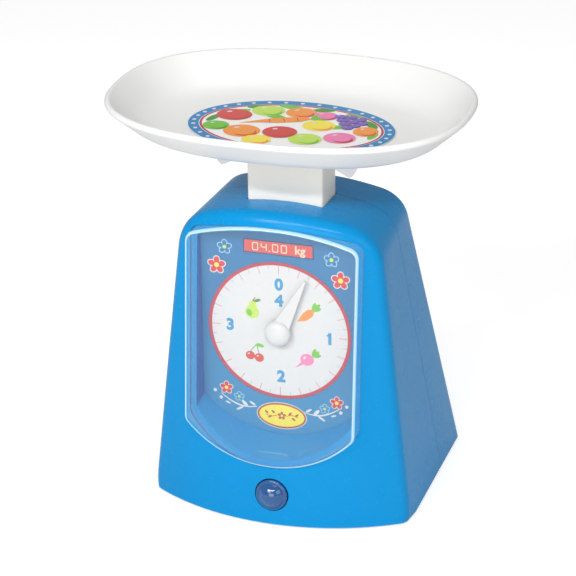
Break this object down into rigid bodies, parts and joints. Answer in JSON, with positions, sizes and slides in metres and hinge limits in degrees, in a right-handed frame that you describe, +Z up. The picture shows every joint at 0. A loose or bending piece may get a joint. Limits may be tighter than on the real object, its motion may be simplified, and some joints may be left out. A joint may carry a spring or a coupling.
{
  "type": "toy balance scale",
  "caption": "Toy kitchen balance scale: bowed housing with a clear window over a round dial, oval weighing pan on a sprung post, geared pointer and push button lamp.",
  "frame": {"origin": "on the ground under the centre of the overall box", "axes": "+X to the right as the dial is read, +Y from the dial to the back, +Z up"},
  "size_m": [0.1854, 0.1474, 0.2184],
  "materials": {
    "blue_plastic": "moulded satin gloss, medium blue",
    "clear_plastic": "clear moulded plastic, polished",
    "printed_card": "printed and laminated card, blue ground with a red ring",
    "white_plastic": "moulded white plastic, satin gloss",
    "ivory_acetal": "natural moulded acetal",
    "grey_plastic": "moulded, unpolished",
    "printed_label": "printed self-adhesive film",
    "plated_steel": "zinc plated",
    "navy_lens": "tinted translucent plastic, polished",
    "lamp_epoxy": "clear epoxy",
    "board_green": "solder mask",
    "black_plastic": "moulded",
    "foot_rubber": "matt",
    "cell_jacket": "plain printed sleeve, no lettering",
    "red_insulation": "wire insulation",
    "black_insulation": "wire insulation"
  },
  "bodies": {
    "housing": {"base_plate": "blue_plastic", "base_screw_1": "plated_steel", "base_screw_2": "plated_steel", "base_screw_3": "plated_steel", "base_screw_4": "plated_steel", "battery_1": "cell_jacket", "battery_2": "cell_jacket", "battery_contact_1": "plated_steel", "battery_contact_2": "plated_steel", "battery_contact_3": "plated_steel", "battery_contact_4": "plated_steel", "battery_door": "blue_plastic", "battery_door_screw_1": "plated_steel", "board_screw_1": "plated_steel", "board_screw_2": "plated_steel", "bridge_screw_1": "plated_steel", "bridge_screw_2": "plated_steel", "bridge_screw_3": "plated_steel", "circuit_board": "board_green", "dial_card": "printed_card", "foot_1": "foot_rubber", "foot_2": "foot_rubber", "foot_3": "foot_rubber", "foot_4": "foot_rubber", "front_shell": "blue_plastic", "gear_axle": "plated_steel", "housing_screw_1": "plated_steel", "housing_screw_2": "plated_steel", "housing_screw_3": "plated_steel", "housing_screw_4": "plated_steel", "lamp": "lamp_epoxy", "lead_black": "black_insulation", "lead_red": "red_insulation", "main_spring": "plated_steel", "movement_bridge": "grey_plastic", "movement_plate": "grey_plastic", "plate_screw_1": "plated_steel", "plate_screw_2": "plated_steel", "plate_screw_3": "plated_steel", "plate_screw_4": "plated_steel", "rear_cover": "blue_plastic", "tact_switch": "black_plastic", "window": "clear_plastic"},
    "weigh_head": {"pan": "white_plastic", "pan_label": "printed_label", "pan_screw_1": "plated_steel", "pan_screw_2": "plated_steel", "post": "white_plastic", "rack": "ivory_acetal", "rack_screw_1": "plated_steel", "rack_screw_2": "plated_steel"},
    "idler": {"compound_gear": "ivory_acetal"},
    "indicator": {"pointer": "white_plastic", "pointer_shaft": "plated_steel", "pointer_pinion": "ivory_acetal"},
    "button": {"lamp_button": "navy_lens"}
  },
  "joints": [
    {"name": "pan_slide", "type": "slide", "parent": "housing", "child": "weigh_head", "axis": [0, 0, -1], "range_m": [0, 0.00933], "stiffness_N_per_m": 1500, "springref_m": -0.002, "deforming": ["main_spring"]},
    {"name": "gear_spin", "type": "hinge", "parent": "housing", "child": "idler", "pos_m": [-0.01188, -0.00372, 0.08762], "axis": [0, 1, 0], "range_deg": [-140, 0]},
    {"name": "pointer_spin", "type": "hinge", "parent": "housing", "child": "indicator", "pos_m": [0, -0.00372, 0.0995], "axis": [0, 1, 0], "range_deg": [0, 350]},
    {"name": "button_press", "type": "slide", "parent": "housing", "child": "button", "axis": [0, 0.9964, -0.0847], "range_m": [0, 0.0012], "stiffness_N_per_m": 300, "springref_m": -0.0005}
  ],
  "couplings": [
    {"joint": "gear_spin", "follows": "pan_slide", "rad_per_m": -250},
    {"joint": "pointer_spin", "follows": "pan_slide", "rad_per_m": 625}
  ]
}
